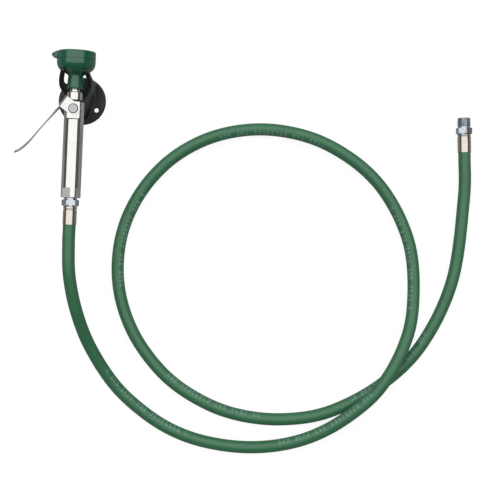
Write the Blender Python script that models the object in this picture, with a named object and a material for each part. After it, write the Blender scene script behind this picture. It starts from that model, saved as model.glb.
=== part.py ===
"""Hand-held drench hose hanging in its wall bracket, with its hose laid out in one loop.

Metres, +Z up. The origin is the centre of the bracket flange's back face, which would lie against a wall.
The handset lies along Y, spray head at +Y, with its axis AXIS_HEIGHT in front of the flange's back.
"""
import math

import bmesh
import bpy
from mathutils import Matrix, Vector

# --- driving dimensions -------------------------------------------------------------------------------
GAP = 0.0003                # between pieces that touch
SEGMENTS = 32               # facets round a turned piece
AXIS_HEIGHT = 0.095         # handset axis in front of the flange's back face

FLANGE_RADIUS = 0.03675
FLANGE_THICKNESS = 0.0042
SCREW_CIRCLE_RADIUS = 0.026
SCREW_HOLE_RADIUS = 0.0034
SCREW_SINK_RADIUS = 0.005
SCREW_ANGLES = (210, 330)

COVER_TOP = 0.0645          # stations along the handset, measured from the flange centre
SEAM = 0.0520               # where the dust cover meets the cup
CUP_RADIUS = 0.0287
NECK_BOTTOM = 0.0080
NECK_RADIUS = 0.0111
WATERWAY_RADIUS = 0.0055
SPRAY_PLATE_LEVEL = 0.0440
COVER_HINGE = (-0.0323, 0.0575)
KNUCKLE_RADIUS = 0.0035

BARREL_RADIUS = 0.0147
BARREL_TOP = -0.0110
BARREL_SEAM = -0.0720
BARREL_END = -0.1528
BARREL_FLAT = 0.01134       # from the axis to the milled flats
FLAT_END = -0.0336
FLAT_COVE = 0.0040            # radius in which the flats run out
WRENCH_FLAT = 0.0130
WRENCH_FLAT_TURN = -25      # degrees
WRENCH_FLAT_TOP = -0.1386
INLET_HEX_TURN = 100        # degrees

PIVOT = -0.0215             # the lever's shaft crosses the barrel here
SHEET = 0.0020
CHEEK_INNER = 0.0117        # from the handset axis to the lever cheek's inner face
CHEEK_END_RADIUS = 0.0100
LEVER_TURN = 146            # degrees from +X to the web's normal, lever at rest
LEVER_HALF_WIDTH = 0.0094
WEB_INNER = 0.0190          # from the pivot to the web's inner face
BEND_RADIUS = 0.0056         # outside the folds between web and cheeks
BLADE_HALF_WIDTH = 0.0100    # at the web and at the paddle
SHANK_HALF_WIDTH = 0.0052    # between them
BLADE_THICKNESS = 0.0016
LOBE_RADIUS = 0.0040
LOBE_OFFSET = 0.0035

HOSE_RADIUS = 0.0095
FERRULE_RADIUS = 0.0103
FERRULE_BORE = 0.0098
FERRULE_END = -0.1930       # where the hose leaves the handset
FAR_FITTING_START = (0.5929, -0.0546, 0.0127)
FAR_FITTING_DIRECTION = (-0.058, 0.9983, 0.0)
FAR_HEX_TURN = -20             # its first flat from straight up, in degrees
PIPE_THREAD_RADIUS = 0.01048

# The hose's route: straight out of the handset's ferrule, down to the surface, once round the loop, over
# its own far run in a long low hump, round the loop again and under that hump to the far fitting.
HOSE_ROUTE = (
    (0.0000, -0.1723, 0.0950),
    (0.0000, -0.1945, 0.0950),
    (0.0000, -0.2200, 0.0950),
    (0.0025, -0.2678, 0.0912),
    (0.0130, -0.3211, 0.0735),
    (0.0323, -0.3758, 0.0410),
    (0.0673, -0.4317, 0.0160),
    (0.1095, -0.4708, 0.0096),
    (0.1588, -0.5004, 0.0095),
    (0.2139, -0.5175, 0.0095),
    (0.2800, -0.5229, 0.0098),
    (0.3427, -0.5133, 0.0148),
    (0.3971, -0.4899, 0.0242),
    (0.4474, -0.4528, 0.0294),
    (0.4809, -0.4158, 0.0296),
    (0.5081, -0.3631, 0.0286),
    (0.5222, -0.3060, 0.0218),
    (0.5204, -0.2264, 0.0108),
    (0.5012, -0.1659, 0.0095),
    (0.4643, -0.1097, 0.0095),
    (0.4150, -0.0690, 0.0095),
    (0.3530, -0.0410, 0.0095),
    (0.2800, -0.0320, 0.0095),
    (0.2092, -0.0452, 0.0095),
    (0.1492, -0.0782, 0.0095),
    (0.1042, -0.1263, 0.0095),
    (0.0755, -0.1847, 0.0095),
    (0.0663, -0.2461, 0.0095),
    (0.0747, -0.3063, 0.0095),
    (0.1014, -0.3649, 0.0095),
    (0.1478, -0.4187, 0.0095),
    (0.2048, -0.4549, 0.0095),
    (0.2655, -0.4742, 0.0095),
    (0.3346, -0.4773, 0.0095),
    (0.4044, -0.4619, 0.0095),
    (0.4803, -0.4174, 0.0095),
    (0.5407, -0.3523, 0.0095),
    (0.5831, -0.2526, 0.0096),
    (0.5953, -0.1274, 0.0112),
    (0.5935, -0.0640, 0.0127),
)


# --- outlines -----------------------------------------------------------------------------------------
def arc(centre, radii, start, end, steps):
    """Points on an ellipse from one angle to another, in degrees, both ends included."""
    points = []
    for i in range(steps + 1):
        angle = math.radians(start + (end - start) * i / steps)
        points.append((centre[0] + radii[0] * math.cos(angle), centre[1] + radii[1] * math.sin(angle)))
    return points


def along(points, count):
    """A smooth curve through the points (Catmull-Rom), read at count even steps of its parameter."""
    points = [Vector(point) for point in points]
    ends = [points[0] * 2 - points[1]] + points + [points[-1] * 2 - points[-2]]
    smooth = []
    for i in range(count):
        place = i * (len(points) - 1) / (count - 1)
        span = min(int(place), len(points) - 2)
        t = place - span
        a, b, c, d = ends[span:span + 4]
        smooth.append(0.5 * (2 * b + (c - a) * t + (2 * a - 5 * b + 4 * c - d) * t * t
                             + (3 * b - a - 3 * c + d) * t ** 3))
    return smooth


def even_steps(points, count):
    """count points at equal distances along the smooth curve, none below the hose's resting height."""
    fine = along(points, 40 * len(points))
    travel = [0.0]
    for before, after in zip(fine, fine[1:]):
        travel.append(travel[-1] + (after - before).length)
    placed = []
    index = 0
    for i in range(count):
        wanted = travel[-1] * i / (count - 1)
        while index < len(fine) - 2 and travel[index + 1] < wanted:
            index += 1
        share = (wanted - travel[index]) / (travel[index + 1] - travel[index])
        spot = fine[index].lerp(fine[index + 1], min(share, 1.0))
        spot.z = max(spot.z, HOSE_RADIUS)
        placed.append(spot)
    return placed


def regular(sides, apothem, turn=0.0):
    """A regular polygon's corners; turn is the direction of its first flat, in degrees."""
    reach = apothem / math.cos(math.pi / sides)
    angles = [math.radians(turn) + math.pi * (2 * i + 1) / sides for i in range(sides)]
    return [(reach * math.cos(angle), reach * math.sin(angle)) for angle in angles]


def rectangle(low, high):
    return [(low[0], low[1]), (high[0], low[1]), (high[0], high[1]), (low[0], high[1])]


# --- solids -------------------------------------------------------------------------------------------
def material(name, colour, roughness, metallic=0.0):
    made = bpy.data.materials.new(name)
    made.use_nodes = True
    shader = made.node_tree.nodes["Principled BSDF"]
    shader.inputs["Base Color"].default_value = (*colour, 1.0)
    shader.inputs["Roughness"].default_value = roughness
    shader.inputs["Metallic"].default_value = metallic
    return made


def empty(name, location, rotation=(0, 0, 0), parent=None):
    made = bpy.data.objects.new(name, None)
    bpy.context.scene.collection.objects.link(made)
    made.location = location
    made.rotation_euler = rotation
    made.parent = parent
    return made


def add(name, shape, finish, parent):
    """The bmesh as a closed, outward-facing object of the scene."""
    bmesh.ops.remove_doubles(shape, verts=shape.verts, dist=1e-6)
    bmesh.ops.recalc_face_normals(shape, faces=shape.faces)
    mesh = bpy.data.meshes.new(name)
    shape.to_mesh(mesh)
    shape.free()
    mesh.shade_smooth()
    mesh.set_sharp_from_angle(angle=math.radians(35))
    made = bpy.data.objects.new(name, mesh)
    bpy.context.scene.collection.objects.link(made)
    made.parent = parent
    if finish:
        mesh.materials.append(finish)
    else:
        made.hide_render = True
        made.display_type = "WIRE"
    return made


def turned(name, outline, finish, parent, segments=SEGMENTS):
    """A solid turned about the parent's Z from (radius, height) points, closed into a ring off the axis."""
    shape = bmesh.new()
    corners = [shape.verts.new((radius, 0, height)) for radius, height in outline]
    edges = [shape.edges.new(pair) for pair in zip(corners, corners[1:])]
    if outline[0][0] > 0:
        edges.append(shape.edges.new((corners[-1], corners[0])))
    bmesh.ops.spin(shape, geom=corners + edges, axis=(0, 0, 1), cent=(0, 0, 0), steps=segments,
                   angle=2 * math.pi)
    return add(name, shape, finish, parent)


def lofted(name, sections, finish, parent):
    """A solid through closed sections that all have the same number of 3-D points."""
    shape = bmesh.new()
    rings = [[shape.verts.new(point) for point in section] for section in sections]
    for ring, after in zip(rings, rings[1:]):
        for i in range(len(ring)):
            j = (i + 1) % len(ring)
            shape.faces.new((ring[i], ring[j], after[j], after[i]))
    shape.faces.new(reversed(rings[0]))
    shape.faces.new(rings[-1])
    return add(name, shape, finish, parent)


def plate(name, outline, low, high, finish, parent):
    """A flat outline extruded along the parent's Z."""
    return lofted(name, [[(x, y, z) for x, y in outline] for z in (low, high)], finish, parent)


def bar(name, radius, start, end, parent, finish=None, segments=24):
    """A round bar between two points of the parent's frame."""
    start, end = Vector(start), Vector(end)
    shape = bmesh.new()
    turn = (end - start).to_track_quat("Z", "Y").to_matrix().to_4x4()
    place = Matrix.Translation((start + end) / 2) @ turn
    bmesh.ops.create_cone(shape, cap_ends=True, segments=segments, radius1=radius, radius2=radius,
                          depth=(end - start).length, matrix=place)
    return add(name, shape, finish, parent)


def combine(target, other, operation):
    modifier = target.modifiers.new(operation.lower(), "BOOLEAN")
    modifier.operation = operation
    modifier.solver = "EXACT"
    modifier.object = other


def cut(target, *cutters):
    for cutter in cutters:
        combine(target, cutter, "DIFFERENCE")


def join(target, *others):
    for other in others:
        combine(target, other, "UNION")


# --- wall bracket -------------------------------------------------------------------------------------
def mirrored(half):
    """A closed outline from its right half, which runs from the bottom centre to the top centre."""
    return half + [(-x, y) for x, y in reversed(half[1:-1])]


def fork_outlines():
    """Half outlines of the stem's foot and of the fork, and of the slot through each."""
    foot = along(((0, -0.0290), (0.0085, -0.0262), (0.0130, -0.0150), (0.0160, -0.0020), (0.0178, 0.0100),
                  (0.0170, 0.0190)), 17) + along(((0.0150, 0.0212), (0, 0.0215)), 5)
    fork = along(((0, -0.0085), (0.0080, -0.0065), (0.0145, -0.0005), (0.0195, 0.0065), (0.0234, 0.0140),
                  (0.0242, 0.0210), (0.0234, 0.0280), (0.0218, 0.0342)), 17)
    fork += [Vector(point) for point in arc((0.0188, 0.0347), (0.0029, 0.0029), 20, 90, 3)]
    fork.append(Vector((0, 0.0376)))
    slot_foot = along(((0, 0.0060), (0.0070, 0.0068), (0.0105, 0.0105), (0.0120, 0.0160)), 9)
    slot_fork = along(((0, 0.0048), (0.0065, 0.0052), (0.0130, 0.0074), (0.0176, 0.0125), (0.0184, 0.0195),
                       (0.0166, 0.0275), (0.0153, 0.0330)), 9)
    return foot, fork, slot_foot, slot_fork


def stem_solid(name, foot, fork, spread, low, shoulder, high):
    """From the foot up to the fork, spread[0] times as wide at its shoulder and spread[1] at the top."""
    sections = []
    for outline, share, height in ((foot, 1, low), (fork, spread[0], shoulder), (fork, spread[1], high)):
        half = [(point[0] * share, point[1]) for point in outline]
        sections.append([(x, y, height) for x, y in mirrored(half)])
    return lofted(name, sections, None, None)


def wall_bracket(finish):
    """Round screw-on flange with a stem that splits into two arms, which rise out and up round the neck."""
    foot, fork, slot_foot, slot_fork = fork_outlines()
    flange = turned("wall_bracket", [(0, 0), (0.0360, 0), (FLANGE_RADIUS, 0.0008), (FLANGE_RADIUS, 0.0024),
                                     (0.0350, FLANGE_THICKNESS), (0, FLANGE_THICKNESS)], finish, None, 48)
    stem = stem_solid("stem", foot, fork, (1.14, 0.835), 0.002, 0.072, 0.130)
    above = Vector((0, 0.060))
    slot_foot += [Vector((0.0120, 0.060)), above]
    slot_fork += [Vector((0.0153, 0.060)), above]
    slot = stem_solid("stem_slot", slot_foot, slot_fork, (1.08, 0.82), -0.010, 0.072, 0.140)
    # seen from the side: the front edge rises at 45 degrees, and the back edge leaves room for the bowl
    side = [(-0.0300, 0.0010), (-0.0300, 0.0060), (-0.0225, 0.0300), (-0.0150, 0.0600), (-0.0110, 0.0700),
            (-0.0070, 0.0745), (0.0000, 0.0805), (0.0310, 0.1115)]
    side += arc((0.0335, 0.1145), (0.0042, 0.0042), 135, 0, 6)
    side += [(0.0378, 0.1080), (0.0330, 0.1020), (0.0275, 0.0950), (0.0240, 0.0860), (0.0215, 0.0720),
             (0.0190, 0.0500), (0.0190, 0.0200), (0.0205, 0.0080), (0.0225, 0.0010)]
    width = 0.030
    profile = lofted("stem_side", [[(x, y, z) for y, z in side] for x in (-width, width)], None, None)
    combine(stem, profile, "INTERSECT")
    bowl_room = [(0, 0.0265), (NECK_RADIUS + 0.0002, 0.0265)] + bowl_curve(0.0004) + [(0, SEAM)]
    holder = empty("bracket_axis", (0, 0, AXIS_HEIGHT), (-math.pi / 2, 0, 0))
    cut(stem, slot, turned("bowl_room", bowl_room, None, holder),
        bar("saddle", 0.0130, (0, 0, -0.030), (0, 0, 0.030), holder, segments=SEGMENTS))
    join(flange, stem)
    for index, angle in enumerate(SCREW_ANGLES):
        place = Matrix.Rotation(math.radians(angle), 4, "Z") @ Vector((SCREW_CIRCLE_RADIUS, 0, 0))
        sink = [(0, -0.002), (SCREW_HOLE_RADIUS, -0.002), (SCREW_HOLE_RADIUS, 0.0024),
                (SCREW_SINK_RADIUS, FLANGE_THICKNESS), (SCREW_SINK_RADIUS, 0.006), (0, 0.006)]
        cutter = turned("screw_hole_%d" % index, sink, None, None, 24)
        cutter.location = place
        cut(flange, cutter)
    return flange


# --- spray head ---------------------------------------------------------------------------------------
def bowl_curve(offset):
    """The bowl's outer curve, from the neck out over a rounded shoulder to the rim, grown by offset."""
    line = along(((NECK_RADIUS, 0.0280), (0.0132, 0.0299), (0.0176, 0.0323), (0.0228, 0.0353),
                  (0.0266, 0.0397), (0.0284, 0.0450), (CUP_RADIUS, SEAM)), 15)
    grown = []
    for i, spot in enumerate(line):
        ahead = (line[min(i + 1, 14)] - line[max(i - 1, 0)]).normalized()
        grown.append((spot.x + ahead.y * offset, spot.y - ahead.x * offset))
    return grown


def spray_cup(finish, parent, hinge):
    """Bowl and neck in one moulding, with the hinge's middle knuckle standing on its rim."""
    outer = [(0.0105, NECK_BOTTOM), (0.0119, NECK_BOTTOM + 0.0005), (0.0125, NECK_BOTTOM + 0.0022)]
    outer += [(0.0121, 0.0140), (0.0116, 0.0200)] + bowl_curve(0)
    inner = [(0.0262, SEAM), (0.0252, 0.0480), (0.0252, SPRAY_PLATE_LEVEL - GAP)]
    inner += [(0.0236, SPRAY_PLATE_LEVEL - GAP)]
    inner += arc((0.0080, 0.0440), (0.0148, 0.0128), -12, -84, 5)
    inner += [(WATERWAY_RADIUS, 0.0305), (WATERWAY_RADIUS, 0.0222), (0.0077, 0.0222), (0.0077, NECK_BOTTOM)]
    cup = turned("spray_cup", outer + inner, finish, parent)
    wall_in, wall_out = -0.0264 - COVER_HINGE[0], -0.0281 - COVER_HINGE[0]
    low, top = SEAM - 0.0012 - COVER_HINGE[1], 0.0022
    tongue = [(wall_in, low), (wall_in, top - 0.0006), (wall_out + 0.0004, top), (0, KNUCKLE_RADIUS)]
    tongue += arc((0, 0), (KNUCKLE_RADIUS, KNUCKLE_RADIUS), 110, 260, 8)
    tongue += [(wall_out, low + 0.0014), (wall_out, low)]
    join(cup, plate("cup_knuckle", tongue, -0.0043, 0.0043, None, hinge))
    cut(cup, bar("cup_pin_hole", 0.0013, (0, 0, -0.006), (0, 0, 0.006), hinge, segments=16))
    return cup


def dust_cover(finish, parent, hinge):
    """Flip-up cap, flush with the cup, with two ears that take the hinge pin."""
    bottom = SEAM + GAP
    wall = 0.0018
    outline = [(0, COVER_TOP)] + [(x, z) for x, z in arc((CUP_RADIUS - 0.002, COVER_TOP - 0.0024),
                                                         (0.002, 0.002), 90, 0, 3)]
    outline += [(CUP_RADIUS, bottom), (CUP_RADIUS - wall, bottom), (CUP_RADIUS - wall, COVER_TOP - 0.0034)]
    outline += [(CUP_RADIUS - wall - 0.0012, COVER_TOP - 0.0022), (0, COVER_TOP - wall)]
    cover = turned("dust_cover", outline, finish, parent)
    wall_x = -0.0272 - COVER_HINGE[0]
    ear = [(wall_x, -0.0034), (wall_x, 0.0062), (wall_x - 0.0014, 0.0058)]
    ear += arc((0, 0), (KNUCKLE_RADIUS, KNUCKLE_RADIUS), 120, 270, 8)
    for side in (-1, 1):
        low, high = sorted((side * 0.0048, side * 0.0082))
        join(cover, plate("cover_ear_%d" % side, ear, low, high, None, hinge))
    notch = rectangle((-0.0300 - COVER_HINGE[0], -0.0100), (-0.0230 - COVER_HINGE[0], 0.0030))
    cut(cover, plate("cover_notch", notch, -0.0047, 0.0047, None, hinge),
        bar("cover_pin_hole", 0.0013, (0, 0, -0.010), (0, 0, 0.010), hinge, segments=16))
    return cover


def spray_plate(finish, parent):
    """Perforated face of the spray head, resting on the cup's ledge."""
    low, high = SPRAY_PLATE_LEVEL, SPRAY_PLATE_LEVEL + 0.0025
    outline = [(0, low), (0.0248, low), (0.0248, high), (0, high + 0.0006)]
    face = turned("spray_plate", outline, finish, parent)
    holes = turned("spray_holes", [(0, low - 0.001), (0.0012, low - 0.001), (0.0012, high + 0.002),
                                   (0, high + 0.002)], None, parent, 8)
    cut(face, holes)
    for ring, (radius, count) in enumerate(((0.0075, 6), (0.0140, 10), (0.0205, 14))):
        for i in range(count):
            angle = 2 * math.pi * (i + 0.5 * ring) / count
            copy = holes.copy()
            copy.name = "spray_hole_%d_%d" % (ring, i)
            bpy.context.scene.collection.objects.link(copy)
            copy.location = (radius * math.cos(angle), radius * math.sin(angle), 0)
            cut(face, copy)
    return face


def head_internals(finishes, parent):
    """Ring that holds the spray plate, and the flow control and strainer in the neck."""
    low = SPRAY_PLATE_LEVEL + 0.0031
    turned("plate_ring", [(0.0228, low), (0.0248, low), (0.0248, low + 0.0014), (0.0228, low + 0.0014)],
           finishes["steel"], parent)
    turned("strainer_screen", [(0, 0.0206), (0.0074, 0.0206), (0.0074, 0.0218), (0, 0.0218)],
           finishes["steel"], parent, 24)
    screen = bpy.data.objects["strainer_screen"]
    for i in range(7):
        radius = 0.0 if i == 6 else 0.0038
        x, y = radius * math.cos(i * math.pi / 3), radius * math.sin(i * math.pi / 3)
        cut(screen, bar("strainer_hole_%d" % i, 0.0013, (x, y, 0.019), (x, y, 0.023), parent, segments=8))
    turned("flow_control_washer", [(0.0030, 0.0182), (0.0074, 0.0182), (0.0074, 0.0202), (0.0022, 0.0202)],
           finishes["rubber"], parent, 24)


def outlet_fittings(finishes, parent):
    """Nipple screwed into the neck, the collar it screws into, and the collar's O-ring."""
    turned("outlet_nipple", [(0.0074, 0.0178), (0.0074, 0.0072), (0.0079, 0.0070), (0.0079, 0.0040),
                             (0.0066, 0.0038), (0.0066, -0.0118), (0.0048, -0.0118), (0.0048, 0.0178)],
           finishes["chrome"], parent, 32)
    turned("outlet_collar", [(0.0109, 0.0034), (0.0115, 0.0028), (0.0115, -0.0079), (0.0109, -0.0085),
                             (0.0093, -0.0085), (0.0093, -0.0106), (0.0087, -0.0110), (0.0087, -0.0162),
                             (0.0050, -0.0162), (0.0050, -0.0122), (0.0069, -0.0122), (0.0069, 0.0034)],
           finishes["chrome"], parent)
    turned("collar_o_ring", arc((0.01055, -0.00975), (0.0009, 0.0009), 0, 300, 5), finishes["rubber"],
           parent, 24)


# --- valve and grip -----------------------------------------------------------------------------------
def valve_body(finish, parent, pivot):
    """Upper barrel: two milled flats that run out in coves, and a cross bore for the lever's shaft."""
    body = turned("valve_body", [
        (0.0091, BARREL_TOP), (0.0140, BARREL_TOP), (BARREL_RADIUS, BARREL_TOP - 0.0007),
        (BARREL_RADIUS, BARREL_SEAM), (0.0106, BARREL_SEAM), (0.0106, -0.0346), (0.0082, -0.0346),
        (0.0082, -0.0168), (0.0091, -0.0168)], finish, parent, 48)
    for side in (-1, 1):
        profile = [(0.02, 0.0), (BARREL_FLAT, 0.0)]
        profile += arc((BARREL_FLAT + FLAT_COVE, FLAT_END), (FLAT_COVE, FLAT_COVE), 180, 262, 7)
        profile.append((0.02, FLAT_END - FLAT_COVE))
        sections = [[(x, side * depth, height) for depth, height in profile] for x in (-0.02, 0.02)]
        cut(body, lofted("flat_cut_%d" % side, sections, None, parent))
    cut(body, bar("cross_bore", 0.0050, (0, 0, -0.020), (0, 0, 0.020), pivot))
    return body


def grip_barrel(finishes, parent):
    """Lower barrel: a tube with a spigot that screws into the valve body, and four wrench flats."""
    grip = turned("grip_barrel", [
        (0.0075, -0.0663), (0.0103, -0.0663), (0.0103, -0.0690), (0.0094, -0.0690), (0.0094, -0.0708),
        (0.0103, -0.0708), (0.0103, BARREL_SEAM - GAP), (BARREL_RADIUS, BARREL_SEAM - GAP),
        (BARREL_RADIUS, BARREL_END + 0.0006), (0.0141, BARREL_END), (0.0086, BARREL_END),
        (0.0086, -0.1418), (0.0110, -0.1390), (0.0110, -0.0780), (0.0075, -0.0760)], finishes["chrome"],
        parent, 48)
    for i in range(4):
        turn = math.radians(WRENCH_FLAT_TURN + 90 * i)
        cutter = plate("wrench_flat_%d" % i, rectangle((WRENCH_FLAT, -0.012), (0.02, 0.012)), -0.160,
                       WRENCH_FLAT_TOP, None, parent)
        cutter.rotation_euler = (0, 0, turn)
        cut(grip, cutter)
    turned("barrel_o_ring", arc((0.0100, -0.0699), (0.00045, 0.00065), 0, 300, 5), finishes["rubber"],
           parent, 24)


def shaft_fittings(finishes, pivot):
    """Bush and seal on each side of the cross bore."""
    for side, word in ((-1, "back"), (1, "front")):
        for piece, near, far, finish in (("shaft_seal", 0.0088, 0.0099, "rubber"),
                                         ("shaft_bush", 0.0102, 0.0112, "brass")):
            ends = sorted((side * near, side * far))
            outline = [(0.0033, ends[0]), (0.0047, ends[0]), (0.0047, ends[1]), (0.0033, ends[1])]
            turned("%s_%s" % (piece, word), outline, finishes[finish], pivot, 20)


def valve_internals(finishes, handset, poppet):
    """Guide, seat and spring retainer in the barrel; stem, seal and nut that the cam pushes off the seat."""
    outline = [(0.0025, -0.0300), (0.0079, -0.0300), (0.0079, -0.0334), (0.0025, -0.0334)]
    guide = turned("stem_guide", outline, finishes["brass"], handset, 32)
    for i in range(4):
        x, y = 0.0052 * math.cos(i * math.pi / 2), 0.0052 * math.sin(i * math.pi / 2)
        cut(guide, bar("guide_port_%d" % i, 0.0017, (x, y, -0.036), (x, y, -0.027), handset, segments=10))
    turned("valve_seat", [(0.0055, -0.0349), (0.0103, -0.0349), (0.0103, -0.0400), (0.0068, -0.0400),
                          (0.0066, -0.0407), (0.0055, -0.0407)], finishes["brass"], handset, 32)
    turned("spring_retainer", [(0.0040, -0.0624), (0.0103, -0.0624), (0.0103, -0.0658), (0.0040, -0.0658)],
           finishes["brass"], handset, 32)
    turned("valve_stem", [(0, -0.02467), (0.0048, -0.02467), (0.0048, -0.02667), (0.0022, -0.02667),
                          (0.0022, -0.0434), (0.0082, -0.0434), (0.0082, -0.0454), (0.0030, -0.0454),
                          (0.0030, -0.0490), (0, -0.0490)], finishes["brass"], poppet, 24)
    turned("seal_nut", [(0.0025, -0.0388), (0.0046, -0.0388), (0.0046, -0.0407), (0.0025, -0.0407)],
           finishes["brass"], poppet, 16)
    turned("seat_seal", [(0.0025, -0.0410), (0.0080, -0.0410), (0.0080, -0.0431), (0.0025, -0.0431)],
           finishes["rubber"], poppet, 24)
    return_spring(finishes["steel"], handset)


def return_spring(finish, parent):
    """Compression spring between the poppet and its retainer."""
    top, bottom, radius, wire, coils, per_coil = -0.0465, -0.0615, 0.0052, 0.0006, 6, 12
    points = []
    for i in range(coils * per_coil + 1):
        angle = 2 * math.pi * i / per_coil
        height = top + (bottom - top) * i / (coils * per_coil)
        points.append((radius * math.cos(angle), radius * math.sin(angle), height))
    tube("return_spring", points, wire, 1, finish, parent)


def tube(name, points, radius, bevel_resolution, finish, parent=None):
    curve = bpy.data.curves.new(name, "CURVE")
    curve.dimensions = "3D"
    curve.bevel_depth = radius
    curve.bevel_resolution = bevel_resolution
    curve.use_fill_caps = True
    spline = curve.splines.new("POLY")
    spline.points.add(len(points) - 1)
    for spot, point in zip(spline.points, points):
        spot.co = (*point, 1.0)
    curve.materials.append(finish)
    made = bpy.data.objects.new(name, curve)
    bpy.context.scene.collection.objects.link(made)
    made.parent = parent
    return made


# --- squeeze lever ------------------------------------------------------------------------------------
def lever_point(out, along_web):
    """A point of the lever's plane: out from the pivot along the web's normal, and along the web."""
    turn = math.radians(LEVER_TURN)
    normal = Vector((math.cos(turn), math.sin(turn)))
    forward = Vector((-normal.y, normal.x))
    return normal * out + forward * along_web


def blade_sections():
    """Sections of the blade from the web to its rounded tip, curving away from the barrel at the end."""
    start = lever_point(WEB_INNER + SHEET / 2, LEVER_HALF_WIDTH - 0.006)
    line = along([start, lever_point(WEB_INNER + SHEET / 2, LEVER_HALF_WIDTH), (-0.0245, 0.0003),
                  (-0.0365, -0.0140), (-0.0487, -0.0285), (-0.0580, -0.0405), (-0.0666, -0.0512),
                  (-0.0760, -0.0602), (-0.0863, -0.0678)], 25)
    travel = [0.0]
    for before, after in zip(line, line[1:]):
        travel.append(travel[-1] + (after - before).length)
    tip_length = 0.011
    sections = []
    for i, spot in enumerate(line):
        ahead = line[min(i + 1, len(line) - 1)] - line[max(i - 1, 0)]
        side = Vector((-ahead.y, ahead.x)).normalized() * BLADE_THICKNESS / 2
        left = (travel[-1] - travel[i]) / tip_length
        share = math.sqrt(1 - (1 - min(left, 1.0)) ** 2) * 0.72 + 0.28
        waist = min(((travel[i] / travel[-1] - 0.45) / 0.36) ** 2, 1.0)
        half = SHANK_HALF_WIDTH + (BLADE_HALF_WIDTH - SHANK_HALF_WIDTH) * waist
        half *= 1 if left >= 1 else share
        low, high = spot - side * (0.6 if left < 0.3 else 1), spot + side * (0.6 if left < 0.3 else 1)
        sections.append([(low.x, low.y, -half), (high.x, high.y, -half), (high.x, high.y, half),
                         (low.x, low.y, half)])
    return sections


def folded_room(outer, pivot):
    """A block that rounds the folds between the web and the cheeks, and is clear of the lever elsewhere."""
    far = WEB_INNER + SHEET
    fold = arc((far - BEND_RADIUS, outer - BEND_RADIUS), (BEND_RADIUS, BEND_RADIUS), 0, 90, 6)
    half = [(far + 0.0004, 0)] + [(x, z) for x, z in fold] + [(-0.030, outer + 0.003)]
    outline = half + [(x, -z) for x, z in reversed(half[1:])]
    sections = []
    for way in (-0.030, 0.030):
        sections.append([(*lever_point(out, way), z) for out, z in outline])
    return lofted("lever_folds", sections, None, pivot)


def squeeze_lever(finish, pivot):
    """Folded sheet: two cheeks over the barrel's flats, a web joining them, and the long blade."""
    outer = CHEEK_INNER + SHEET
    wide = LEVER_HALF_WIDTH
    web = [lever_point(WEB_INNER, -wide), lever_point(WEB_INNER, wide),
           lever_point(WEB_INNER + SHEET, wide), lever_point(WEB_INNER + SHEET, -wide)]
    lever = plate("squeeze_lever", web, -outer, outer, finish, pivot)
    notch = [lever_point(out, way) for out, way in ((0.0170, -0.0120), (0.0170, -0.0050), (0.0230, -0.0050),
                                                    (0.0230, -0.0120))]
    cut(lever, plate("lever_notch", notch, -0.0090, 0.0090, None, pivot))
    turn = LEVER_TURN + 90
    round_end = arc((0, 0), (CHEEK_END_RADIUS, CHEEK_END_RADIUS), turn + 20, turn + 160, 12)
    cheek = [Vector(point) for point in round_end]
    cheek += [lever_point(WEB_INNER + 0.001, -wide), lever_point(WEB_INNER + 0.001, wide)]
    for side in (-1, 1):
        low, high = sorted((side * CHEEK_INNER, side * outer))
        join(lever, plate("lever_cheek_%d" % side, cheek, low, high, None, pivot))
    combine(lever, folded_room(outer, pivot), "INTERSECT")
    join(lever, lofted("lever_blade", blade_sections(), None, pivot))
    square = regular(4, 0.0025, LEVER_TURN)
    cut(lever, plate("lever_square", square, -0.020, 0.020, None, pivot))
    return lever


def camshaft(finish, pivot):
    """Shaft through the barrel with an off-centre lobe, squared where the lever's cheeks sit on it."""
    shaft = bar("camshaft", 0.0030, (0, 0, -0.0115), (0, 0, 0.0115), pivot, finish, 20)
    turn = math.radians(LEVER_TURN + 15)
    spot = (LOBE_OFFSET * math.cos(turn), LOBE_OFFSET * math.sin(turn))
    join(shaft, bar("cam_lobe", LOBE_RADIUS, (*spot, -0.0025), (*spot, 0.0025), pivot, segments=24))
    join(shaft, plate("shaft_square", regular(4, 0.0022, LEVER_TURN), -0.0134, 0.0134, None, pivot))
    for side in (-1, 1):
        cut(shaft, bar("shaft_tap_%d" % side, 0.0014, (0, 0, side * 0.006), (0, 0, side * 0.015), pivot,
                       segments=12))
    return shaft


def pivot_caps(finish, pivot):
    """Flat-headed screws that hold the lever's cheeks on the shaft."""
    under, top, edge = 0.0140, 0.0156, 0.0013
    for side, word in ((-1, "back"), (1, "front")):
        outline = [(0, 0.0065), (0.0011, 0.0065), (0.0011, under), (0.0074, under), (0.0074, top - edge),
                   (0.0074 - edge, top), (0, top)]
        turned("pivot_cap_%s" % word, [(r, side * z) for r, z in outline], finish, pivot, 32)


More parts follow.
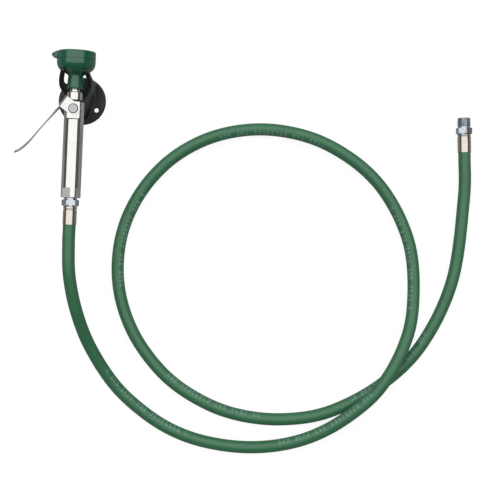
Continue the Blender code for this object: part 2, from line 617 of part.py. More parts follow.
# --- hose and its ends --------------------------------------------------------------------------------
def inlet_fitting(finishes, parent):
    """Threaded hex adapter screwed into the barrel, its washer, and the crimped ferrule on the hose."""
    adapter = turned("inlet_adapter", [(0.0062, -0.1425), (0.0082, -0.1425), (0.0082, -0.1530),
                                       (0.0096, -0.1533), (0.0096, -0.1560), (0.0080, -0.1560),
                                       (0.0080, -0.1718), (0.0062, -0.1718)], finishes["chrome"], parent, 32)
    nut = plate("inlet_hex", regular(6, 0.01125, INLET_HEX_TURN), -0.1652, -0.1556, None, parent)
    cut(nut, bar("inlet_hex_bore", 0.0071, (0, 0, -0.170), (0, 0, -0.150), parent, segments=32))
    join(adapter, nut)
    turned("inlet_washer", [(0.0062, -0.1402), (0.0084, -0.1402), (0.0084, -0.1421), (0.0062, -0.1421)],
           finishes["rubber"], parent, 24)
    turned("near_ferrule", [(0.0084, -0.1657), (0.0096, -0.1657), (0.0102, -0.1664), (0.0102, -0.1694),
                            (0.0096, -0.1702), (0.0096, -0.1709), (FERRULE_RADIUS, -0.1716),
                            (FERRULE_RADIUS, FERRULE_END), (FERRULE_BORE, FERRULE_END),
                            (FERRULE_BORE, -0.1712), (0.0084, -0.1706)], finishes["nickel"], parent, 32)


def far_fitting(finishes):
    """Ferrule and male pipe fitting on the hose's far end, lying with a hex corner near the surface."""
    direction = Vector(FAR_FITTING_DIRECTION)
    turn = direction.to_track_quat("Z", "X").to_euler()
    axis = empty("far_end", FAR_FITTING_START, turn)
    turned("far_ferrule", [(FERRULE_BORE, 0), (FERRULE_RADIUS, 0), (FERRULE_RADIUS, 0.0240),
                           (0.0096, 0.0247), (0.0096, 0.0253), (0.0101, 0.0259), (0.0101, 0.0273),
                           (0.0096, 0.0279), (0.0084, 0.0279), (0.0084, 0.0222), (FERRULE_BORE, 0.0216)],
           finishes["nickel"], axis, 32)
    fitting = turned("far_fitting", [(0.0062, 0.0214), (0.0080, 0.0214), (0.0080, 0.0282), (0.0098, 0.0284),
                                     (0.0098, 0.0300), (0.0094, 0.0370), (0.0094, 0.0392),
                                     (0.0104, 0.0400), (PIPE_THREAD_RADIUS, 0.0510), (0.0094, 0.0534),
                                     (0.0062, 0.0534)], finishes["zinc"], axis, 32)
    nut = plate("far_hex", regular(6, 0.0111, FAR_HEX_TURN), 0.0284, 0.0380, None, axis)
    cut(nut, bar("far_hex_bore", 0.0078, (0, 0, 0.020), (0, 0, 0.040), axis, segments=32))
    join(fitting, nut)


def hose(finish):
    start = Vector(FAR_FITTING_START)
    end = start + Vector(FAR_FITTING_DIRECTION) * 0.0208
    points = even_steps(HOSE_ROUTE + (start, end), 80)
    tube("hose", points, HOSE_RADIUS, 3, finish)


# --- assembly -----------------------------------------------------------------------------------------
def build():
    for old in list(bpy.data.objects):
        bpy.data.objects.remove(old)
    finishes = {
        "black": material("plastic_black", (0.020, 0.025, 0.023), 0.35),
        "green": material("plastic_green", (0.018, 0.105, 0.055), 0.25),
        "hose": material("rubber_green", (0.05, 0.19, 0.085), 0.55),
        "rubber": material("rubber_black", (0.02, 0.02, 0.02), 0.7),
        "chrome": material("chrome", (0.80, 0.80, 0.79), 0.08, 1.0),
        "steel": material("stainless_steel", (0.62, 0.62, 0.60), 0.25, 1.0),
        "brass": material("brass", (0.78, 0.60, 0.30), 0.3, 1.0),
        "nickel": material("nickel", (0.72, 0.66, 0.58), 0.22, 1.0),
        "zinc": material("zinc", (0.60, 0.64, 0.68), 0.32, 1.0),
    }
    handset = empty("handset_axis", (0, 0, AXIS_HEIGHT), (-math.pi / 2, 0, 0))
    poppet = empty("stem_axis", (0, 0, 0), parent=handset)
    pivot = empty("lever_pivot", (0, PIVOT, AXIS_HEIGHT))
    hinge = empty("cover_hinge", (*COVER_HINGE, AXIS_HEIGHT))
    wall_bracket(finishes["black"])
    spray_cup(finishes["green"], handset, hinge)
    spray_plate(finishes["green"], handset)
    head_internals(finishes, handset)
    outlet_fittings(finishes, handset)
    valve_body(finishes["chrome"], handset, pivot)
    grip_barrel(finishes, handset)
    shaft_fittings(finishes, pivot)
    valve_internals(finishes, handset, poppet)
    squeeze_lever(finishes["steel"], pivot)
    camshaft(finishes["steel"], pivot)
    pivot_caps(finishes["steel"], pivot)
    dust_cover(finishes["green"], handset, hinge)
    bar("cover_hinge_pin", 0.0010, (0, 0, -0.0080), (0, 0, 0.0080), hinge, finishes["green"], 12)
    inlet_fitting(finishes, handset)
    hose(finishes["hose"])
    far_fitting(finishes)


build()
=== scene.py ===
"""The drench hose in its wall bracket, laid out on a pale surface and seen from straight above.

Metres, in the CAD's frame: +Y runs along the handset towards the spray head, +Z away from the flange's back.
"""

import math

import bmesh
import bpy
from mathutils import Matrix, Vector


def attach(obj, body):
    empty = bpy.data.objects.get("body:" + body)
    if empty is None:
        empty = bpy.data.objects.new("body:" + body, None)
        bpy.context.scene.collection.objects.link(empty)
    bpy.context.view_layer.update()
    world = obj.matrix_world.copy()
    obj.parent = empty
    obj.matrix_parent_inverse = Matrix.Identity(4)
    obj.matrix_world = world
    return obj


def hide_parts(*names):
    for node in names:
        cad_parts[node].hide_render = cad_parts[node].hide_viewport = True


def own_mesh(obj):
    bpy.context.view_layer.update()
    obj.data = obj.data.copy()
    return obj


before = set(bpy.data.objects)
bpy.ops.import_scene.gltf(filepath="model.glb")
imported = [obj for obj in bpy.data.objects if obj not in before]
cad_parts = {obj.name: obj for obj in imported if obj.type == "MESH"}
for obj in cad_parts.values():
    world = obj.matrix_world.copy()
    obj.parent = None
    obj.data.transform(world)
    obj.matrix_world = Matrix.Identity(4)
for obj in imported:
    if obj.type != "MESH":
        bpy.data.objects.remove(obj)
for startup in ("Cube", "Light", "Camera"):
    if startup in bpy.data.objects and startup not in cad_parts:
        bpy.data.objects.remove(bpy.data.objects[startup])
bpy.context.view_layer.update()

# --- dimensions shared with the CAD -------------------------------------------------------------------
AXIS_HEIGHT = 0.095             # the handset's axis above the flange's back
HOSE_RADIUS = 0.0095
PIPE_THREAD_RADIUS = 0.01048    # over the crests
INLET_HEX_TURN = 100            # degrees
WRENCH_FLAT_TOP = -0.1386
FAR_FITTING_START = (0.5929, -0.0546, 0.0127)
FAR_FITTING_DIRECTION = (-0.058, 0.9983, 0.0)
FAR_HEX_TURN = -20              # degrees
HOSE_ROUTE = (
    (0.0000, -0.1723, 0.0950),
    (0.0000, -0.1945, 0.0950),
    (0.0000, -0.2200, 0.0950),
    (0.0025, -0.2678, 0.0912),
    (0.0130, -0.3211, 0.0735),
    (0.0323, -0.3758, 0.0410),
    (0.0673, -0.4317, 0.0160),
    (0.1095, -0.4708, 0.0096),
    (0.1588, -0.5004, 0.0095),
    (0.2139, -0.5175, 0.0095),
    (0.2800, -0.5229, 0.0098),
    (0.3427, -0.5133, 0.0148),
    (0.3971, -0.4899, 0.0242),
    (0.4474, -0.4528, 0.0294),
    (0.4809, -0.4158, 0.0296),
    (0.5081, -0.3631, 0.0286),
    (0.5222, -0.3060, 0.0218),
    (0.5204, -0.2264, 0.0108),
    (0.5012, -0.1659, 0.0095),
    (0.4643, -0.1097, 0.0095),
    (0.4150, -0.0690, 0.0095),
    (0.3530, -0.0410, 0.0095),
    (0.2800, -0.0320, 0.0095),
    (0.2092, -0.0452, 0.0095),
    (0.1492, -0.0782, 0.0095),
    (0.1042, -0.1263, 0.0095),
    (0.0755, -0.1847, 0.0095),
    (0.0663, -0.2461, 0.0095),
    (0.0747, -0.3063, 0.0095),
    (0.1014, -0.3649, 0.0095),
    (0.1478, -0.4187, 0.0095),
    (0.2048, -0.4549, 0.0095),
    (0.2655, -0.4742, 0.0095),
    (0.3346, -0.4773, 0.0095),
    (0.4044, -0.4619, 0.0095),
    (0.4803, -0.4174, 0.0095),
    (0.5407, -0.3523, 0.0095),
    (0.5831, -0.2526, 0.0096),
    (0.5953, -0.1274, 0.0112),
    (0.5935, -0.0640, 0.0127),
)

# --- dimensions of this script ------------------------------------------------------------------------
CAMERA_SPOT = (0.2693, -0.2188, 2.2)
CAMERA_ROLL = 2.47              # degrees
FIELD_WIDTH = 0.775             # metres in view at the surface
SENSOR_WIDTH = 36

ON_AXIS = 1e-6                  # a turned outline's point within this of the axis is one vertex
WELD_DISTANCE = 1e-6
EDGE = 0.00025                  # width of a broken edge
CAP_EDGE = 0.0011
SHARPEST = 32                   # degrees; an edge that turns by more than this is broken
MILLED_SHARPEST = 19            # the same on the barrel, whose milled flats meet it at low angles

HOSE_STATIONS = 620
HOSE_SIDES = 40
HOSE_TAIL = 0.0208              # how far the hose reaches past the far fitting's start
FAR_HEX_APOTHEM = 0.0111
INLET_HEX_APOTHEM = 0.01125
WRENCH_FLAT_WITHIN = 0.01462    # below the flats' top, the surface nearer the axis than this is a flat
BRACKET_VOXEL = 0.0007

# The stand-in for the hose's print: metres along the route, and metres across from its top line.
PRINT_SPAN = (0.20, 2.4)
PRINT_START = 0.265
PRINT_PITCH = 0.3135            # from one group of dashes to the next
PRINT_SHARE = 0.53              # of a pitch that carries dashes
PRINT_CELL = 0.0068             # one dash and its gap
PRINT_ROWS = ((-0.0040, 0.37), (-0.0082, 0.71))     # a row's middle, and the seed of its dashes' lengths

# The soft box overhead: low edge, high edge and falloff, as slopes from straight up.
SOFT_BOX_X = (-1.42, 1.20, 0.12)
SOFT_BOX_Y = (-0.24, 2.0, 0.08)
SOFT_BOX_LIGHT = 1.10
BACKDROP_LIGHT = 0.9
FLOOR_SHADE = 0.22
FLOOR_GLOW = 0.13
FLOOR_GLOW_SEEN = 0.76          # added for the camera only


# --- camera -------------------------------------------------------------------------------------------
def camera():
    """Looks straight down, as the photo does."""
    lens = bpy.data.cameras.new("camera")
    lens.sensor_width = SENSOR_WIDTH
    lens.lens = SENSOR_WIDTH * CAMERA_SPOT[2] / FIELD_WIDTH
    lens.clip_end = 50
    made = bpy.data.objects.new("camera", lens)
    made.location = CAMERA_SPOT
    made.rotation_euler = (0, 0, math.radians(CAMERA_ROLL))
    bpy.context.scene.collection.objects.link(made)
    bpy.context.scene.camera = made


# --- curves and meshes --------------------------------------------------------------------------------
def along(points, count):
    """A smooth curve through the points (Catmull-Rom), read at count even steps of its parameter."""
    points = [Vector(point) for point in points]
    ends = [points[0] * 2 - points[1]] + points + [points[-1] * 2 - points[-2]]
    smooth = []
    for i in range(count):
        place = i * (len(points) - 1) / (count - 1)
        span = min(int(place), len(points) - 2)
        t = place - span
        a, b, c, d = ends[span:span + 4]
        smooth.append(0.5 * (2 * b + (c - a) * t + (2 * a - 5 * b + 4 * c - d) * t * t
                             + (3 * b - a - 3 * c + d) * t ** 3))
    return smooth


def even_steps(points, count):
    """count points at equal distances along the smooth curve, none below the hose's resting height."""
    fine = along(points, 40 * len(points))
    travel = [0.0]
    for before, after in zip(fine, fine[1:]):
        travel.append(travel[-1] + (after - before).length)
    spots = []
    index = 0
    for i in range(count):
        wanted = travel[-1] * i / (count - 1)
        while index < len(fine) - 2 and travel[index + 1] < wanted:
            index += 1
        share = (wanted - travel[index]) / (travel[index + 1] - travel[index])
        spot = fine[index].lerp(fine[index + 1], min(share, 1.0))
        spot.z = max(spot.z, HOSE_RADIUS)
        spots.append(spot)
    return spots


def placed(name, mesh, finish, body, stands_for, angle):
    """The mesh as a piece on a body, standing for CAD nodes, smooth where it turns by under angle."""
    mesh.shade_smooth()
    mesh.set_sharp_from_angle(angle=math.radians(angle))
    mesh.materials.clear()
    mesh.materials.append(finish)
    made = bpy.data.objects.new(name, mesh)
    bpy.context.scene.collection.objects.link(made)
    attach(made, body)
    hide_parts(*stands_for)
    return made


def axis_frame(start, direction):
    """The placing of a piece turned about its own Z, from its start and its direction."""
    turn = Vector(direction).to_track_quat("Z", "X").to_matrix().to_4x4()
    return Matrix.Translation(start) @ turn


def handset_frame():
    """The placing of a piece turned about the handset's axis, with heights along +Y."""
    return Matrix.Translation((0, 0, AXIS_HEIGHT)) @ Matrix.Rotation(-math.pi / 2, 4, "X")


def turned(shape, outline, place, segments=96, reach=None):
    """Adds a solid turned from (radius, height) points; reach(angle, radius, height) may pull a point in."""
    rings = []
    for radius, height in outline:
        if radius < ON_AXIS:
            rings.append([shape.verts.new(place @ Vector((0, 0, height)))])
            continue
        ring = []
        for i in range(segments):
            angle = 2 * math.pi * i / segments
            r = reach(angle, radius, height) if reach else radius
            spot = Vector((r * math.cos(angle), r * math.sin(angle), height))
            ring.append(shape.verts.new(place @ spot))
        rings.append(ring)
    if outline[0][0] >= ON_AXIS:
        rings.append(rings[0])
    for ring, after in zip(rings, rings[1:]):
        for i in range(segments):
            j = (i + 1) % segments
            near = (ring[i % len(ring)], ring[j % len(ring)])
            far = (after[j % len(after)], after[i % len(after)])
            corners = list(dict.fromkeys(near + far))
            if len(corners) > 2:
                shape.faces.new(corners)


def finished_mesh(name, shape):
    """The shape as a mesh with its faces turned outwards; the shape itself is freed."""
    bmesh.ops.recalc_face_normals(shape, faces=shape.faces)
    mesh = bpy.data.meshes.new(name)
    shape.to_mesh(mesh)
    shape.free()
    return mesh


def hexagon(apothem, turn=0.0):
    """A reach function that keeps points within a hexagon; turn is its first flat's direction in degrees."""
    def reach(angle, radius, height):
        off = (angle - math.radians(turn) + math.pi / 6) % (math.pi / 3) - math.pi / 6
        return min(radius, apothem / math.cos(off))
    return reach


# --- materials ----------------------------------------------------------------------------------------
class Graph:
    """A material's node tree, with short calls for the nodes used here."""

    def __init__(self, name):
        self.material = bpy.data.materials.new(name)
        self.material.use_nodes = True
        self.tree = self.material.node_tree
        self.shader = self.tree.nodes["Principled BSDF"]
        self.position = self.new("ShaderNodeTexCoord").outputs["Object"]

    def new(self, kind, **settings):
        node = self.tree.nodes.new(kind)
        for key, value in settings.items():
            setattr(node, key, value)
        return node

    def link(self, source, socket):
        if isinstance(source, (int, float)):
            socket.default_value = source
        else:
            self.tree.links.new(source, socket)

    def math(self, operation, a, b=0.0, c=0.0):
        node = self.new("ShaderNodeMath", operation=operation)
        for value, socket in zip((a, b, c), node.inputs):
            self.link(value, socket)
        return node.outputs[0]

    def noise(self, scale, detail=3.0, stretch=(1, 1, 1)):
        mapping = self.new("ShaderNodeMapping")
        mapping.inputs["Scale"].default_value = stretch
        self.tree.links.new(self.position, mapping.inputs["Vector"])
        node = self.new("ShaderNodeTexNoise")
        node.inputs["Scale"].default_value = scale
        node.inputs["Detail"].default_value = detail
        self.tree.links.new(mapping.outputs[0], node.inputs["Vector"])
        return node.outputs["Fac"]

    def ramp(self, factor, low, high, a=0.0, b=1.0):
        node = self.new("ShaderNodeMapRange", clamp=True)
        for value, socket in zip((factor, low, high, a, b), node.inputs):
            self.link(value, socket)
        return node.outputs[0]

    def mix(self, factor, a, b):
        node = self.new("ShaderNodeMix", data_type="RGBA")
        self.link(factor, node.inputs["Factor"])
        for value, socket in ((a, node.inputs[6]), (b, node.inputs[7])):
            if isinstance(value, tuple):
                socket.default_value = (*value, 1.0)
            else:
                self.tree.links.new(value, socket)
        return node.outputs[2]

    def bump(self, height, depth, strength=1.0, below=None):
        """Tilts the surface by a height of 0 to 1, where 1 stands depth metres proud."""
        node = self.new("ShaderNodeBump")
        node.inputs["Strength"].default_value = strength
        node.inputs["Distance"].default_value = depth
        self.link(height, node.inputs["Height"])
        if below is not None:
            self.tree.links.new(below, node.inputs["Normal"])
        return node.outputs["Normal"]


def tinted(colour, share):
    """The colour made lighter or darker by a factor."""
    return tuple(min(channel * share, 1.0) for channel in colour)


def surface(name, colour, roughness, metallic=0.0, mottle=0.08, patch=60.0, grain=900.0, grain_depth=2e-6,
            uneven=0.25, brush=None, wear=0.0):
    """A finish with slow colour change, uneven gloss, fine grain or brushing, and rubbed edges."""
    graph = Graph(name)
    slow = graph.noise(patch, 4.0)
    base = graph.mix(graph.ramp(slow, 0.3, 0.7), tinted(colour, 1 - mottle), tinted(colour, 1 + mottle))
    fine = graph.noise(grain, 2.0, brush or (1, 1, 1))
    gloss = graph.ramp(graph.noise(patch * 2.3, 3.0), 0.25, 0.75, roughness * (1 - uneven),
                       roughness * (1 + uneven))
    if wear:
        edge = graph.new("ShaderNodeNewGeometry").outputs["Pointiness"]
        rubbed = graph.math("MULTIPLY", graph.ramp(edge, 0.53, 0.62), graph.ramp(slow, 0.35, 0.65))
        base = graph.mix(graph.math("MULTIPLY", rubbed, wear), base, tinted(colour, 4.0))
    shader = graph.shader
    graph.link(base, shader.inputs["Base Color"])
    graph.link(gloss, shader.inputs["Roughness"])
    shader.inputs["Metallic"].default_value = metallic
    graph.link(graph.bump(fine, grain_depth), shader.inputs["Normal"])
    graph.gloss = gloss
    return graph


def satin_flats(graph):
    """Leaves the wrench flats at the barrel's end as the cutter left them, duller than the plating."""
    parts = graph.new("ShaderNodeSeparateXYZ")
    graph.tree.links.new(graph.position, parts.inputs[0])
    height = graph.math("SUBTRACT", parts.outputs[2], AXIS_HEIGHT)
    radius = graph.math("SQRT", graph.math("ADD", graph.math("POWER", parts.outputs[0], 2.0),
                                           graph.math("POWER", height, 2.0)))
    flat = graph.math("MULTIPLY", graph.math("LESS_THAN", parts.outputs[1], WRENCH_FLAT_TOP),
                      graph.math("LESS_THAN", radius, WRENCH_FLAT_WITHIN))
    cutter = graph.ramp(graph.noise(900, 2.0, (1, 8, 1)), 0.3, 0.7, 0.30, 0.42)
    duller = graph.math("MULTIPLY", flat, graph.math("SUBTRACT", cutter, graph.gloss))
    graph.link(graph.math("ADD", graph.gloss, duller), graph.shader.inputs["Roughness"])


def hose_rubber():
    """Green rubber with the faint weave of its curing wrap, and rows of pale dashes in place of a print."""
    graph = Graph("hose_rubber")
    uv = graph.new("ShaderNodeUVMap", uv_map="route").outputs[0]
    parts = graph.new("ShaderNodeSeparateXYZ")
    graph.tree.links.new(uv, parts.inputs[0])
    run, turn = parts.outputs[0], parts.outputs[1]      # metres along, and turns round from the top
    girth = 2 * math.pi * HOSE_RADIUS
    across = graph.math("MULTIPLY", turn, girth)
    weave = []
    for sign in (1, -1):
        slope = graph.math("MULTIPLY_ADD", across, 0.8 * sign, run)
        weave.append(graph.math("SINE", graph.math("MULTIPLY", slope, 2 * math.pi / 0.0011)))
    cloth = graph.math("MULTIPLY_ADD", graph.math("MAXIMUM", *weave), 0.5, 0.5)
    wrap = graph.math("PINGPONG", graph.math("MULTIPLY_ADD", across, 0.35, run), 0.021)
    wrap_edge = graph.ramp(wrap, 0.0, 0.0012, 1.0, 0.0)
    index = graph.math("FLOOR", graph.math("DIVIDE", run, PRINT_CELL))
    place = graph.math("FRACT", graph.math("DIVIDE", run, PRINT_CELL))
    rows = []
    for middle, seed in PRINT_ROWS:
        centre = graph.math("ABSOLUTE", graph.math("SUBTRACT", across, middle))
        stripe = graph.ramp(centre, 0.0010, 0.0017, 1.0, 0.0)
        white = graph.new("ShaderNodeTexWhiteNoise", noise_dimensions="1D")
        graph.link(graph.math("MULTIPLY_ADD", index, 1.0, seed), white.inputs["W"])
        until = graph.math("MULTIPLY_ADD", white.outputs["Value"], 0.45, 0.40)
        stops = graph.ramp(place, graph.math("SUBTRACT", until, 0.06), until, 1.0, 0.0)
        dash = graph.math("MULTIPLY", stops, graph.ramp(place, 0.06, 0.12))
        rows.append(graph.math("MULTIPLY", stripe, dash))
    since = graph.math("DIVIDE", graph.math("SUBTRACT", run, PRINT_START), PRINT_PITCH)
    group = graph.math("LESS_THAN", graph.math("FRACT", since), PRINT_SHARE)
    group = graph.math("MULTIPLY", group, graph.math("LESS_THAN", run, PRINT_SPAN[1]))
    filled = graph.math("GREATER_THAN", graph.math("FRACT", graph.math("MULTIPLY", index, 0.2273)), 0.16)
    filled = graph.math("MULTIPLY", filled, graph.math("GREATER_THAN", run, PRINT_SPAN[0]))
    marks = graph.math("MAXIMUM", *rows)
    dashes = graph.math("MULTIPLY", marks, graph.math("MULTIPLY", group, filled))
    faded = graph.math("MULTIPLY", dashes, graph.ramp(graph.noise(300, 4.0), 0.32, 0.5, 0.40, 0.80))
    slow = graph.noise(25, 4.0)
    green = graph.mix(graph.ramp(slow, 0.3, 0.7), (0.047, 0.216, 0.097), (0.056, 0.242, 0.111))
    green = graph.mix(graph.math("MULTIPLY", cloth, 0.10), green, (0.070, 0.250, 0.125))
    green = graph.mix(graph.math("MULTIPLY", wrap_edge, 0.10), green, (0.020, 0.100, 0.045))
    base = graph.mix(faded, green, (0.24, 0.43, 0.37))
    shader = graph.shader
    graph.link(base, shader.inputs["Base Color"])
    graph.link(graph.ramp(graph.noise(140, 3.0), 0.3, 0.7, 0.32, 0.42), shader.inputs["Roughness"])
    shader.inputs["Specular IOR Level"].default_value = 0.72
    relief = graph.bump(cloth, 2.2e-5, 0.7)
    relief = graph.bump(wrap_edge, 4e-5, 0.5, relief)
    graph.link(graph.bump(graph.noise(700, 3.0), 1.2e-5, 0.6, relief), shader.inputs["Normal"])
    return graph.material


def finishes():
    """Every finish by its short name."""
    made = {
        "black": surface("bracket_plastic", (0.013, 0.017, 0.016), 0.34, mottle=0.15, grain=1400,
                         grain_depth=1.4e-5, wear=0.35),
        "green": surface("head_plastic", (0.016, 0.146, 0.078), 0.17, mottle=0.05, grain=420,
                         grain_depth=6e-6, patch=35),
        "chrome": surface("barrel_chrome", (0.80, 0.79, 0.76), 0.055, 1.0, mottle=0.025, grain=60,
                          grain_depth=3e-6, uneven=0.5, brush=(1, 40, 1)),
        "hex": surface("hex_chrome", (0.60, 0.63, 0.67), 0.12, 1.0, mottle=0.06, grain=240,
                       grain_depth=6e-6),
        "nickel": surface("ferrule_nickel", (0.70, 0.64, 0.58), 0.13, 1.0, mottle=0.05, grain=120,
                          grain_depth=5e-6, brush=(1, 14, 1)),
        "zinc": surface("fitting_zinc", (0.58, 0.64, 0.69), 0.30, 1.0, mottle=0.08, grain=500,
                        grain_depth=4e-6),
        "cap": surface("cap_steel", (0.50, 0.50, 0.50), 0.30, 1.0, mottle=0.06, grain=300,
                       grain_depth=5e-6),
        "steel": surface("lever_steel", (0.77, 0.76, 0.74), 0.20, 1.0, mottle=0.04, grain=220,
                         grain_depth=6e-6, brush=(1, 1, 0.06)),
        "brass": surface("turned_brass", (0.72, 0.54, 0.26), 0.28, 1.0, mottle=0.08, grain=90,
                         grain_depth=5e-6, brush=(1, 12, 1)),
        "rubber": surface("seal_rubber", (0.018, 0.018, 0.018), 0.6, mottle=0.2, grain=800,
                          grain_depth=1e-5),
    }
    satin_flats(made["chrome"])
    made = {name: graph.material for name, graph in made.items()}
    made["hose"] = hose_rubber()
    glossy = made["green"].node_tree.nodes["Principled BSDF"]
    for socket, value in (("Specular IOR Level", 0.76), ("Coat Weight", 0.25), ("Coat Roughness", 0.08)):
        glossy.inputs[socket].default_value = value
    return made


# --- pieces -------------------------------------------------------------------------------------------
def hose(finish):
    """The hose as one fine tube, with metres of run and turns round from its top as its UVs."""
    start = Vector(FAR_FITTING_START)
    end = start + Vector(FAR_FITTING_DIRECTION) * HOSE_TAIL
    route = even_steps(HOSE_ROUTE + (start, end), HOSE_STATIONS)
    step = (route[1] - route[0]).length
    shape = bmesh.new()
    layer = shape.loops.layers.uv.new("route")
    rings = []
    for i, spot in enumerate(route):
        ahead = (route[min(i + 1, len(route) - 1)] - route[max(i - 1, 0)]).normalized()
        side = ahead.cross(Vector((0, 0, 1))).normalized()
        up = side.cross(ahead)
        ring = []
        for k in range(HOSE_SIDES):
            angle = 2 * math.pi * k / HOSE_SIDES
            outward = up * math.cos(angle) + side * math.sin(angle)
            ring.append(shape.verts.new(spot + outward * HOSE_RADIUS))
        rings.append(ring)
    for i in range(len(rings) - 1):
        for k in range(HOSE_SIDES):
            j = (k + 1) % HOSE_SIDES
            face = shape.faces.new((rings[i][k], rings[i][j], rings[i + 1][j], rings[i + 1][k]))
            low, high = k / HOSE_SIDES, (k + 1) / HOSE_SIDES
            if low >= 0.5:
                low, high = low - 1, high - 1
            for loop, (u, v) in zip(face.loops, ((i, low), (i, high), (i + 1, high), (i + 1, low))):
                loop[layer].uv = (u * step, v)
    shape.faces.new(rings[0])
    shape.faces.new(reversed(rings[-1]))
    mesh = finished_mesh("hose", shape)
    piece = placed("hose_tube", mesh, finish, "handset", ["hose"], 60)


def far_fitting(finish):
    """Male pipe thread, hex and neck on the hose's far end."""
    place = axis_frame(FAR_FITTING_START, FAR_FITTING_DIRECTION)
    shape = bmesh.new()
    body = [(0.0062, 0.0214), (0.0080, 0.0214), (0.0080, 0.0282), (0.0098, 0.0284), (0.0098, 0.0300),
            (0.0094, 0.0370), (0.0094, 0.0392), (0.0092, 0.0398), (0.0092, 0.0528), (0.0087, 0.0534),
            (0.0062, 0.0534)]
    turned(shape, body, place)
    hexes = [(0.0080, 0.0284), (0.0113, 0.0284), (0.0128, 0.0293), (0.0128, 0.0371), (0.0113, 0.0380),
             (0.0080, 0.0380)]
    turned(shape, hexes, place, 120, hexagon(FAR_HEX_APOTHEM, FAR_HEX_TURN))
    pitch, start, end = 0.001814, 0.0398, 0.0532
    root, depth, taper, bevel = 0.0086, 0.00085, 0.00045, 0.0011
    rows = int((end - start) / pitch * 10)
    outline = [(root, start)]
    outline += [(PIPE_THREAD_RADIUS, start + (end - start) * i / rows) for i in range(rows + 1)]
    outline += [(root, end)]

    def thread(angle, radius, height):
        if radius < PIPE_THREAD_RADIUS:
            return radius
        turns = (height / pitch - angle / (2 * math.pi)) % 1
        groove = min(max(abs(turns * 2 - 1) * 1.25 - 0.12, 0), 1)
        inside = min(max(min(height - start, end - height) / bevel, 0), 1)
        crest = radius - taper * (height - start) / (end - start)
        return crest - depth * groove - bevel * (1 - inside)

    turned(shape, outline, place, reach=thread)
    return placed("pipe_fitting", finished_mesh("pipe_fitting", shape), finish, "handset", ["far_fitting"],
                  30)


def inlet_adapter(finish):
    """Hex with chamfered corners between the barrel and the hose's ferrule."""
    place = handset_frame()
    shape = bmesh.new()
    turned(shape, [(0.0062, -0.1425), (0.0082, -0.1425), (0.0082, -0.1530), (0.0096, -0.1533),
                   (0.0096, -0.1560), (0.0080, -0.1563), (0.0080, -0.1718), (0.0062, -0.1718)], place)
    hexes = [(0.0080, -0.1556), (0.0113, -0.1556), (0.0130, -0.1566), (0.0130, -0.1642), (0.0113, -0.1652),
             (0.0080, -0.1652)]
    turned(shape, hexes, place, 120, hexagon(INLET_HEX_APOTHEM, INLET_HEX_TURN))
    return placed("inlet_hex", finished_mesh("inlet_hex", shape), finish, "handset", ["inlet_adapter"],
                  30)


def evaluated(piece):
    """The piece's mesh with its modifiers applied."""
    graph = bpy.context.evaluated_depsgraph_get()
    return bpy.data.meshes.new_from_object(piece.evaluated_get(graph))


def bracket(finish):
    """The CAD bracket as a moulding, with soft edges and blends where its walls meet."""
    helper = bpy.data.objects.new("bracket_helper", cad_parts["wall_bracket"].data.copy())
    bpy.context.scene.collection.objects.link(helper)
    weld = helper.modifiers.new("weld", "WELD")
    weld.merge_threshold = WELD_DISTANCE
    remesh = helper.modifiers.new("remesh", "REMESH")
    remesh.mode = "VOXEL"
    remesh.voxel_size = BRACKET_VOXEL
    smooth = helper.modifiers.new("smooth", "SMOOTH")
    smooth.factor = 0.5
    smooth.iterations = 8
    mesh = evaluated(helper)
    bpy.data.objects.remove(helper)
    mesh.name = "bracket_moulding"
    return placed("bracket_moulding", mesh, finish, "bracket", ["wall_bracket"], 180)


def carry_over(name, finish, edge=EDGE, sharpest=SHARPEST):
    """Gives a CAD node its finish, and breaks by modifier the edges that turn by more than sharpest."""
    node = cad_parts[name]
    mesh = node.data
    if "custom_normal" in mesh.attributes:
        mesh.attributes.remove(mesh.attributes["custom_normal"])
    mesh.shade_smooth()
    for place in node.material_slots:
        place.material = finish
    weld = node.modifiers.new("weld", "WELD")
    weld.merge_threshold = WELD_DISTANCE
    bevel = node.modifiers.new("edges", "BEVEL")
    bevel.width = edge
    bevel.segments = 2
    bevel.limit_method = "ANGLE"
    bevel.angle_limit = math.radians(sharpest)
    bevel.harden_normals = True


# --- surroundings -------------------------------------------------------------------------------------
def floor():
    """A pale surface with a faint glow and, for the camera only, a stronger one that keeps it near white."""
    shape = bmesh.new()
    bmesh.ops.create_grid(shape, x_segments=1, y_segments=1, size=6)
    mesh = bpy.data.meshes.new("floor")
    shape.to_mesh(mesh)
    shape.free()
    made = bpy.data.objects.new("floor", mesh)
    made.location = (0.27, -0.22, -0.0005)
    bpy.context.scene.collection.objects.link(made)
    finish = bpy.data.materials.new("floor")
    finish.use_nodes = True
    shader = finish.node_tree.nodes["Principled BSDF"]
    shader.inputs["Base Color"].default_value = (FLOOR_SHADE, FLOOR_SHADE, FLOOR_SHADE, 1)
    shader.inputs["Roughness"].default_value = 0.9
    shader.inputs["Specular IOR Level"].default_value = 0.0
    shader.inputs["Emission Color"].default_value = (1, 1, 1, 1)
    seen = finish.node_tree.nodes.new("ShaderNodeLightPath").outputs["Is Camera Ray"]
    glow = finish.node_tree.nodes.new("ShaderNodeMath")
    glow.operation = "MULTIPLY_ADD"
    glow.inputs[1].default_value = FLOOR_GLOW_SEEN
    glow.inputs[2].default_value = FLOOR_GLOW
    finish.node_tree.links.new(seen, glow.inputs[0])
    finish.node_tree.links.new(glow.outputs[0], shader.inputs["Emission Strength"])
    mesh.materials.append(finish)


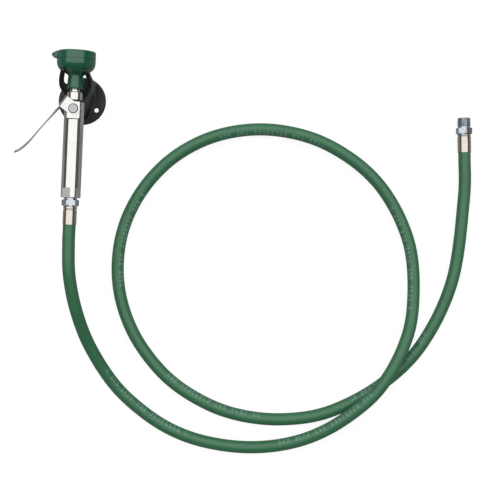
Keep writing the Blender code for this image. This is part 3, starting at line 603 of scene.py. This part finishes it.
def studio():
    """A broad soft box overhead, a dim room round it, and a pale backdrop past the floor's edge."""
    world = bpy.data.worlds.new("studio")
    world.use_nodes = True
    bpy.context.scene.world = world
    tree = world.node_tree
    background = tree.nodes["Background"]

    def math_node(operation, a, b=0.0, c=0.0):
        node = tree.nodes.new("ShaderNodeMath")
        node.operation = operation
        for value, socket in zip((a, b, c), node.inputs):
            if isinstance(value, (int, float)):
                socket.default_value = value
            else:
                tree.links.new(value, socket)
        return node.outputs[0]

    def within(value, low, high, soft):
        """1 between low and high, falling to 0 over soft beyond them."""
        rise = math_node("DIVIDE", math_node("SUBTRACT", value, low - soft), soft)
        fall = math_node("DIVIDE", math_node("SUBTRACT", high + soft, value), soft)
        both = math_node("MINIMUM", rise, fall)
        return math_node("MINIMUM", math_node("MAXIMUM", both, 0.0), 1.0)

    direction = tree.nodes.new("ShaderNodeTexCoord").outputs["Generated"]
    parts = tree.nodes.new("ShaderNodeSeparateXYZ")
    tree.links.new(direction, parts.inputs[0])
    x, y, z = parts.outputs
    above = math_node("MAXIMUM", z, 0.02)
    box = math_node("MULTIPLY", within(math_node("DIVIDE", x, above), *SOFT_BOX_X),
                    within(math_node("DIVIDE", y, above), *SOFT_BOX_Y))
    room = within(z, 0.45, 2.0, 0.5)
    glow = math_node("MULTIPLY_ADD", room, 0.02, 0.08)
    light = math_node("MULTIPLY_ADD", box, SOFT_BOX_LIGHT, glow)
    seen = tree.nodes.new("ShaderNodeLightPath").outputs["Is Camera Ray"]
    shown = math_node("ADD", math_node("MULTIPLY", light, math_node("SUBTRACT", 1.0, seen)),
                      math_node("MULTIPLY", BACKDROP_LIGHT, seen))
    tree.links.new(shown, background.inputs["Strength"])
    background.inputs["Color"].default_value = (1, 1, 1, 1)


# --- assembly -----------------------------------------------------------------------------------------
def build():
    """The whole scene: camera, finishes, drawn pieces, CAD pieces, surface and light."""
    camera()
    made = finishes()
    fitting = far_fitting(made["zinc"])
    hose(made["hose"])
    bracket(made["black"])
    inlet_adapter(made["hex"])
    green = ("spray_cup", "spray_plate", "dust_cover", "cover_hinge_pin")
    chrome = ("valve_body", "grip_barrel", "outlet_collar", "outlet_nipple")
    steel = ("squeeze_lever", "camshaft", "plate_ring", "strainer_screen", "return_spring")
    nickel = ("near_ferrule", "far_ferrule")
    brass = ("shaft_bush_front", "shaft_bush_back", "stem_guide", "valve_seat", "spring_retainer",
             "valve_stem", "seal_nut")
    rubber = ("flow_control_washer", "collar_o_ring", "barrel_o_ring", "shaft_seal_front",
              "shaft_seal_back", "seat_seal", "inlet_washer")
    milled = ("valve_body", "grip_barrel")
    for finish, names in (("green", green), ("chrome", chrome), ("steel", steel), ("nickel", nickel),
                          ("brass", brass), ("rubber", rubber)):
        for name in names:
            carry_over(name, made[finish], sharpest=MILLED_SHARPEST if name in milled else SHARPEST)
    for name in ("pivot_cap_front", "pivot_cap_back"):
        carry_over(name, made["cap"], CAP_EDGE)
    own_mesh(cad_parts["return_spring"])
    floor()
    studio()
    bpy.context.scene.view_settings.view_transform = "Standard"


build()
